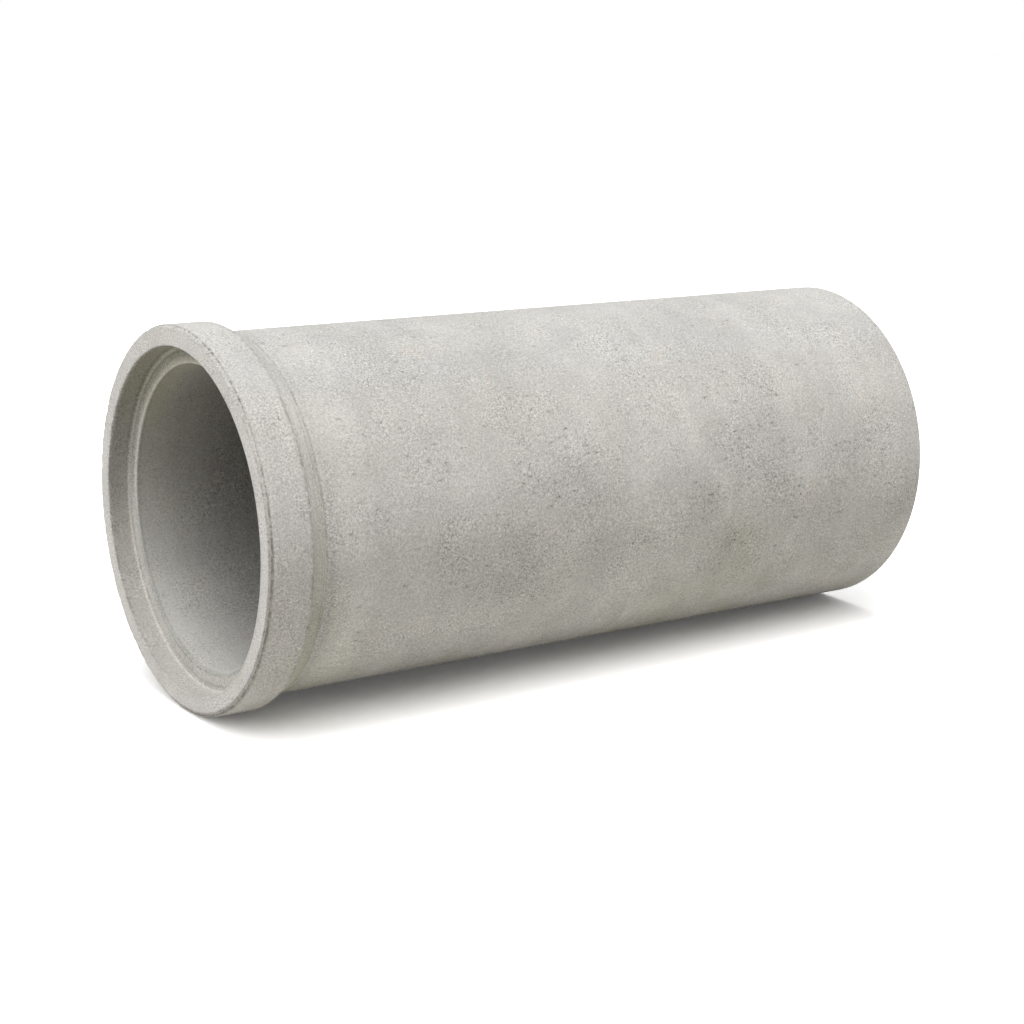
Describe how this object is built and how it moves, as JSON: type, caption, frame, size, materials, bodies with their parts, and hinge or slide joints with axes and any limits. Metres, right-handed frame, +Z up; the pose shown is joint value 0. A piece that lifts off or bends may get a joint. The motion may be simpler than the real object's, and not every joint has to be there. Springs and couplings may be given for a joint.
{
  "type": "concrete sewer pipe",
  "caption": "Precast concrete sewer pipe on its side, with a plain round barrel and a bevelled bell that holds a stepped socket at one end.",
  "frame": {"origin": "on the floor, under the middle of the box round the lying pipe", "axes": "+X along the pipe from the bell to the plain end, +Z up; the pipe's own axis falls 0.83 degrees towards the plain end, because the bell is wider than the barrel"},
  "size_m": [2.0278, 0.9446, 0.9463],
  "materials": {
    "concrete": "matt cast concrete with fine pits"
  },
  "bodies": {
    "root": {"pipe": "concrete"}
  },
  "joints": []
}
